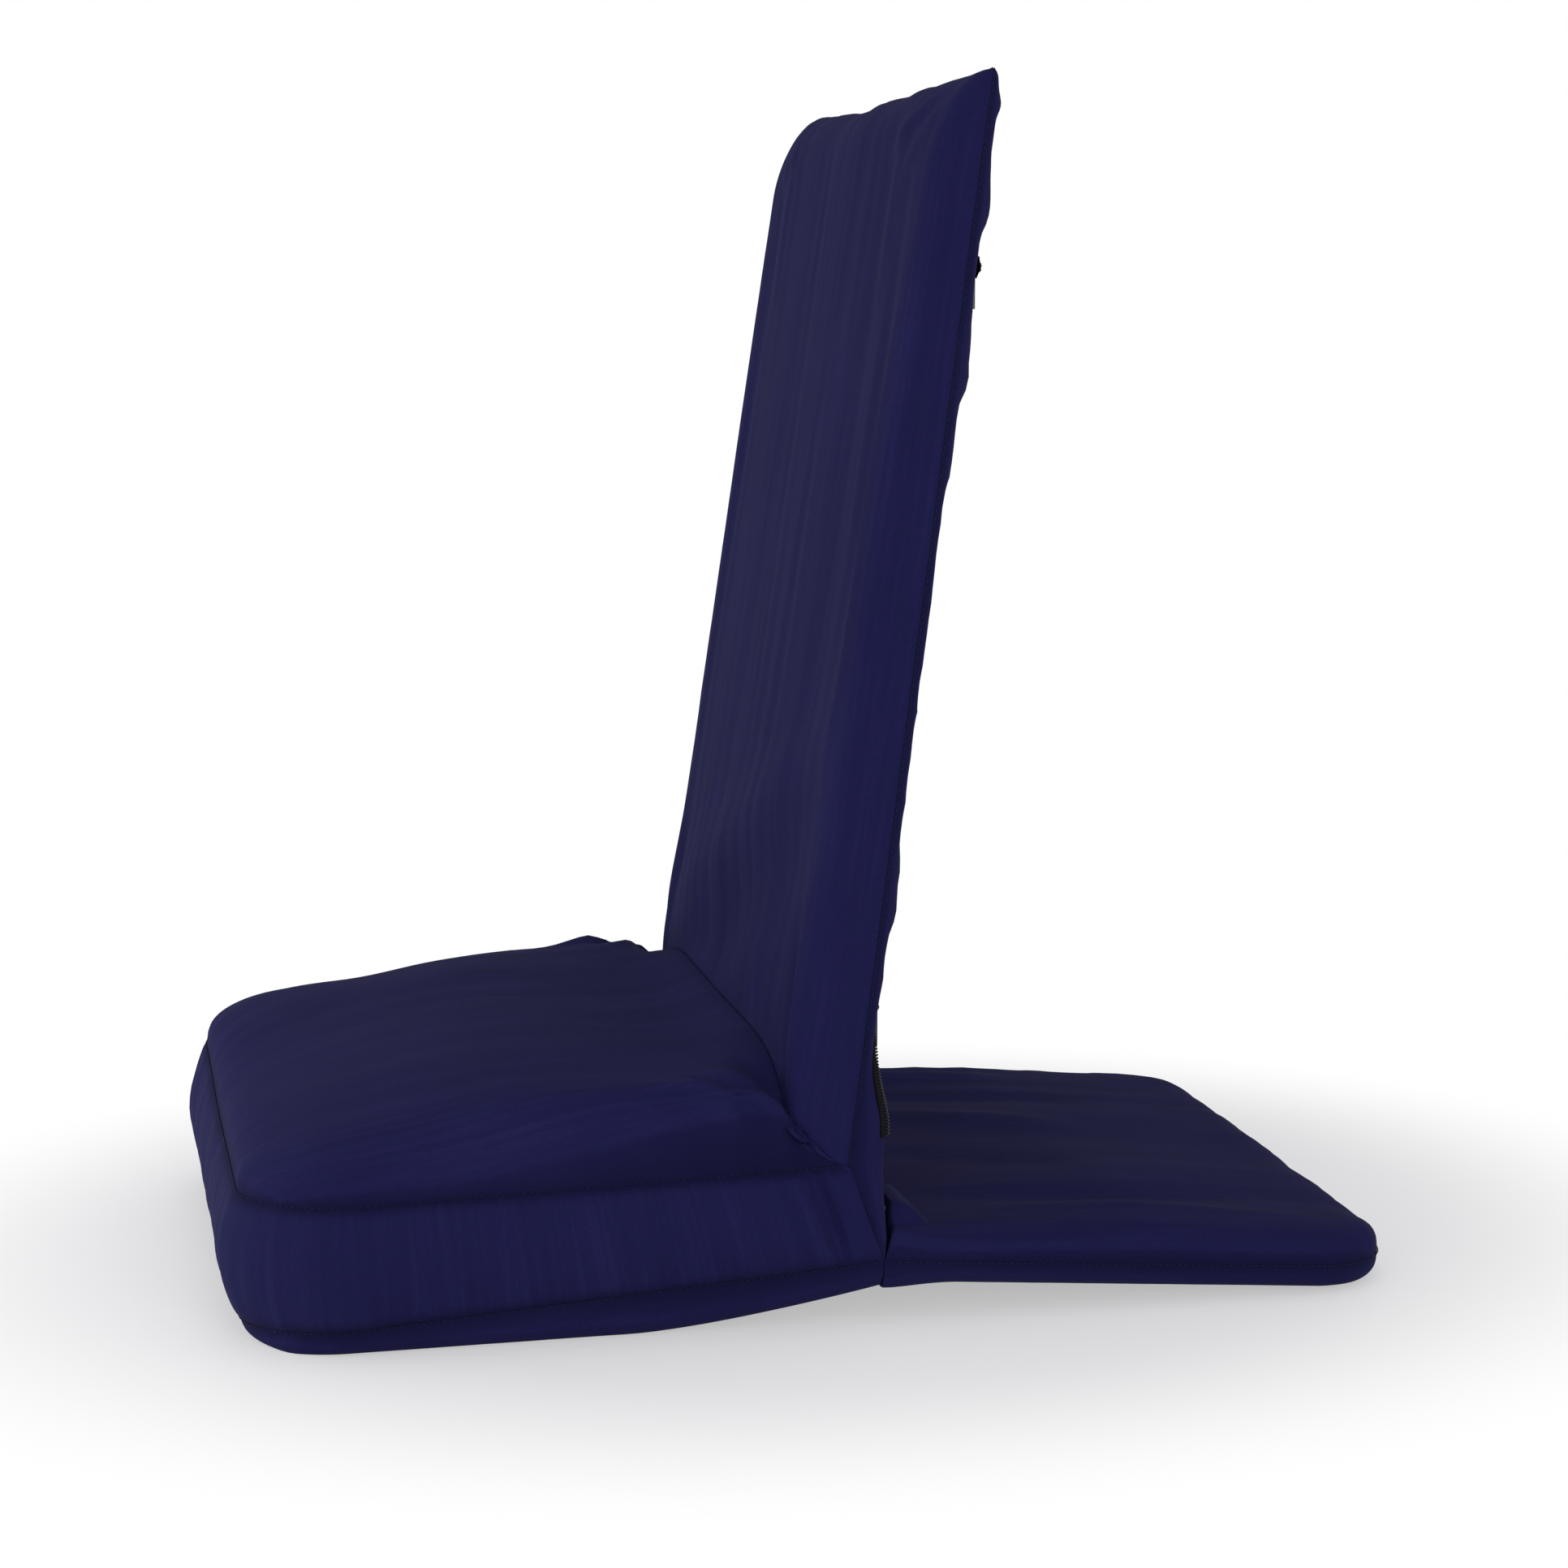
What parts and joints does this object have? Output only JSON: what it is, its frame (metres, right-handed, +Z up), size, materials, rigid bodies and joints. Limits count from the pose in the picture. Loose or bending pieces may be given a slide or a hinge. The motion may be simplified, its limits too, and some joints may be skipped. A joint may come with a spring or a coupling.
{
  "type": "folding floor chair",
  "caption": "Legless folding floor chair: thick seat cushion, thin leaning backrest and a flat rear stabiliser panel in one dark blue cloth cover over hinged steel tube frames.",
  "frame": {"origin": "on the floor under the middle of the whole chair", "axes": "+X points back along the tail, +Y across to the chair's left seen from the front, +Z up"},
  "size_m": [0.616, 0.408, 0.6492],
  "materials": {
    "cover_cloth": "matte",
    "foam": "matte",
    "wadding": "matte",
    "webbing": "matte",
    "frame_paint": "satin",
    "zinc_steel": "satin",
    "nylon": "matte",
    "zip_tape": "matte",
    "zip_coil": "satin",
    "zip_metal": "satin"
  },
  "bodies": {
    "seat": {"seat_top_panel": "cover_cloth", "seat_boxing": "cover_cloth", "seat_bottom_panel": "cover_cloth", "seat_foam": "foam", "seat_wadding": "wadding"},
    "backrest": {"back_front_panel": "cover_cloth", "back_rear_panel": "cover_cloth", "back_pad_front": "foam", "back_pad_rear": "foam", "back_frame": "frame_paint", "back_crossbar": "frame_paint", "back_webbing": "webbing", "back_hinge_plate_left": "zinc_steel", "back_hinge_plate_right": "zinc_steel", "hinge_bolts": "zinc_steel", "friction_washers": "nylon", "disc_springs": "zinc_steel", "hinge_nuts": "zinc_steel", "stop_pins": "zinc_steel", "back_rivets": "zinc_steel", "upper_zip_tape": "zip_tape", "upper_zip_coil": "zip_coil", "lower_zip_tape": "zip_tape", "lower_zip_coil": "zip_coil"},
    "tail": {"tail_top_panel": "cover_cloth", "tail_bottom_panel": "cover_cloth", "tail_pad_top": "foam", "tail_pad_bottom": "foam", "tail_frame": "frame_paint", "tail_crossbar": "frame_paint", "tail_hinge_plate_left": "zinc_steel", "tail_hinge_plate_right": "zinc_steel", "tail_rivets": "zinc_steel"},
    "upper_slider": {"upper_zip_slider": "zip_metal"},
    "upper_pull": {"upper_zip_pull": "zip_metal"},
    "lower_slider": {"lower_zip_slider": "zip_metal"},
    "lower_pull": {"lower_zip_pull": "zip_metal"}
  },
  "joints": [
    {"name": "seat_fold", "type": "hinge", "parent": "backrest", "child": "seat", "pos_m": [-0.032, 0, 0.151], "axis": [0, 1, 0], "range_deg": [0, 82]},
    {"name": "tail_fold", "type": "hinge", "parent": "backrest", "child": "tail", "pos_m": [0.0235, 0, 0.044], "axis": [0, -1, 0], "range_deg": [0, 86]},
    {"name": "upper_zip_slide", "type": "slide", "parent": "backrest", "child": "upper_slider", "axis": [0, 1, 0], "range_m": [0, 0.322]},
    {"name": "upper_pull_swing", "type": "hinge", "parent": "upper_slider", "child": "upper_pull", "pos_m": [0.06897, -0.1615, 0.54945], "axis": [0, 1, 0], "range_deg": [-150, 15]},
    {"name": "lower_zip_slide", "type": "slide", "parent": "backrest", "child": "lower_slider", "axis": [0, 1, 0], "range_m": [0, 0.322]},
    {"name": "lower_pull_swing", "type": "hinge", "parent": "lower_slider", "child": "lower_pull", "pos_m": [0.01874, -0.1615, 0.1627], "axis": [0, 1, 0], "range_deg": [-150, 15]}
  ]
}
